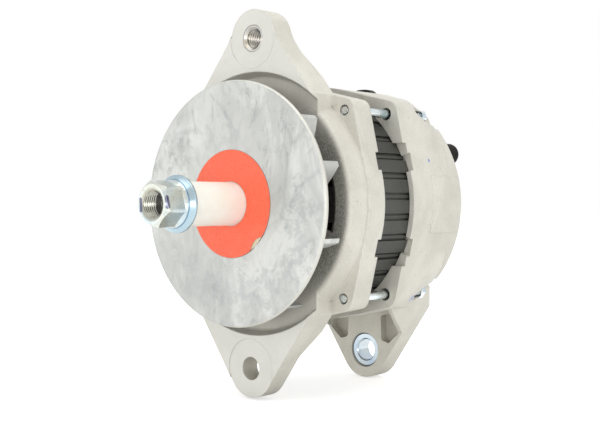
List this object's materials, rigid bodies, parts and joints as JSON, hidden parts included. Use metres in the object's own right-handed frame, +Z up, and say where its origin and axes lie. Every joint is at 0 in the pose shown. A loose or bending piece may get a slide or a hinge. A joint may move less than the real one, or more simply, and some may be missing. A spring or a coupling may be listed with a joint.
{
  "type": "alternator",
  "caption": "Heavy-duty hinge-mount alternator with an outside fan, a claw-pole rotor on two bearings, a grooved stator between two castings, and a slip bushing in the rear hinge lug.",
  "frame": {"origin": "on the axis of the hinge bolt, at the machined face of the front hinge ear", "axes": "+Z up, the shaft lies along Y with its pulley end towards -Y, +X to the right seen from the pulley end"},
  "size_m": [0.1388, 0.2034, 0.2174],
  "materials": {
    "cast_aluminium": "fine sand-cast, bare",
    "zinc_plated_steel": "zinc plated, pale blue passivation",
    "bearing_steel": "ground and polished",
    "laminated_steel": "stacked sheets, dark varnish",
    "pole_steel": "forged, machined outside",
    "turned_steel": "turned",
    "copper": "enamelled or bare copper",
    "cage_brass": "pressed",
    "seal_rubber": "moulded",
    "fan_aluminium": "pressed sheet, scuffed and smudged",
    "label_film": "plain orange-red film",
    "sleeve_plastic": "thin, slightly see-through",
    "nylon": "moulded",
    "black_plastic": "moulded",
    "carbon": "pressed copper graphite",
    "sink_aluminium": "blanked plate"
  },
  "bodies": {
    "housing": {"drive_end_frame": "cast_aluminium", "slip_ring_end_frame": "cast_aluminium", "tension_insert": "zinc_plated_steel", "through_bolts": "zinc_plated_steel", "stator_core": "laminated_steel", "stator_winding": "copper", "bearing_outer_race": "bearing_steel", "bearing_seals": "seal_rubber", "bearing_retainer": "zinc_plated_steel", "retainer_screws": "turned_steel", "rear_bearing_cup": "bearing_steel", "brush_box": "black_plastic", "front_brush_spring": "bearing_steel", "rear_brush_spring": "bearing_steel", "positive_heat_sink": "sink_aluminium", "heat_sink_washers": "nylon", "heat_sink_screws": "turned_steel", "positive_diodes": "turned_steel", "negative_diodes": "turned_steel", "phase_leads": "copper", "regulator": "black_plastic", "capacitor": "sink_aluminium", "capacitor_bracket": "zinc_plated_steel", "end_frame_screws": "turned_steel", "output_stud": "zinc_plated_steel", "output_insulator": "black_plastic", "output_nut": "zinc_plated_steel", "sense_stud": "zinc_plated_steel", "terminal_cap": "black_plastic"},
    "rotor": {"rotor_shaft": "turned_steel", "front_pole_half": "pole_steel", "rear_pole_half": "pole_steel", "field_coil": "copper", "coil_bobbin": "nylon", "ring_insulator": "nylon", "slip_rings": "copper", "fan_collar": "turned_steel", "fan": "fan_aluminium", "fan_label": "label_film", "shipping_sleeve": "sleeve_plastic", "shaft_nut": "zinc_plated_steel", "bearing_inner_race": "bearing_steel"},
    "ball_set": {"bearing_balls": "bearing_steel", "bearing_cage": "cage_brass"},
    "roller_set": {"rear_bearing_rollers": "bearing_steel", "rear_bearing_cage": "cage_brass"},
    "front_brush": {"front_brush": "carbon"},
    "rear_brush": {"rear_brush": "carbon"},
    "bushing": {"slip_bushing": "zinc_plated_steel"}
  },
  "joints": [
    {"name": "rotor_spin", "type": "hinge", "parent": "housing", "child": "rotor", "pos_m": [0, 0, 0.09208], "axis": [0, 1, 0], "continuous": true},
    {"name": "ball_set_spin", "type": "hinge", "parent": "housing", "child": "ball_set", "pos_m": [0, 0.0015, 0.09208], "axis": [0, 1, 0], "continuous": true},
    {"name": "roller_set_spin", "type": "hinge", "parent": "housing", "child": "roller_set", "pos_m": [0, 0.1014, 0.09208], "axis": [0, 1, 0], "continuous": true},
    {"name": "front_brush_slide", "type": "slide", "parent": "housing", "child": "front_brush", "axis": [0, 0, -1], "range_m": [0, 0.006], "stiffness_N_per_m": 60, "springref_m": -0.02, "deforming": ["front_brush_spring"]},
    {"name": "rear_brush_slide", "type": "slide", "parent": "housing", "child": "rear_brush", "axis": [0, 0, -1], "range_m": [0, 0.006], "stiffness_N_per_m": 60, "springref_m": -0.02, "deforming": ["rear_brush_spring"]},
    {"name": "bushing_slide", "type": "slide", "parent": "housing", "child": "bushing", "axis": [0, -1, 0], "range_m": [-0.003, 0.003]}
  ],
  "couplings": [
    {"joint": "ball_set_spin", "follows": "rotor_spin", "ratio": 0.3767},
    {"joint": "roller_set_spin", "follows": "rotor_spin", "ratio": 0.4265}
  ]
}
